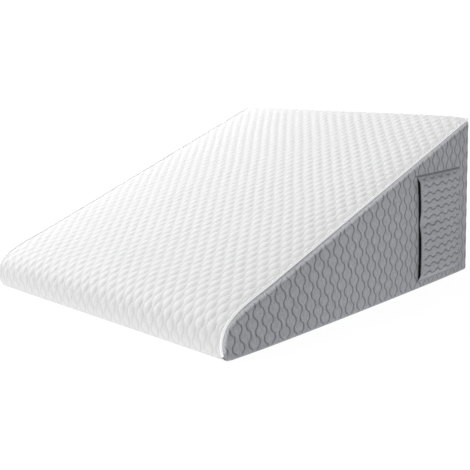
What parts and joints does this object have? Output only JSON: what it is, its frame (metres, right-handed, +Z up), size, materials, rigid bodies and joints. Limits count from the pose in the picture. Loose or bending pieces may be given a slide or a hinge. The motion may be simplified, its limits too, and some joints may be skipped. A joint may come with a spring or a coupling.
{
  "type": "wedge pillow",
  "caption": "Filled wedge pillow with a sloping knit top, rounded nose, tall upright back, piped side seams and an open side pocket.",
  "frame": {"origin": "on the floor under the middle of the base", "axes": "+X to the pillow's right, the side with the pocket; +Y from the nose to the tall back; +Z up"},
  "size_m": [0.6105, 0.6965, 0.3021],
  "materials": {
    "white_knit": "matt raised knit, white",
    "grey_knit": "matt raised knit, mid grey",
    "base_cloth": "plain matt cloth, grey",
    "white_piping": "smooth covered cord, white"
  },
  "bodies": {
    "root": {"wedge_cushion": "white_knit", "side_panel_right": "grey_knit", "side_panel_left": "grey_knit", "back_panel": "grey_knit", "pocket_panel": "grey_knit", "base_panel": "base_cloth", "piping_right": "white_piping", "piping_left": "white_piping"}
  },
  "joints": []
}
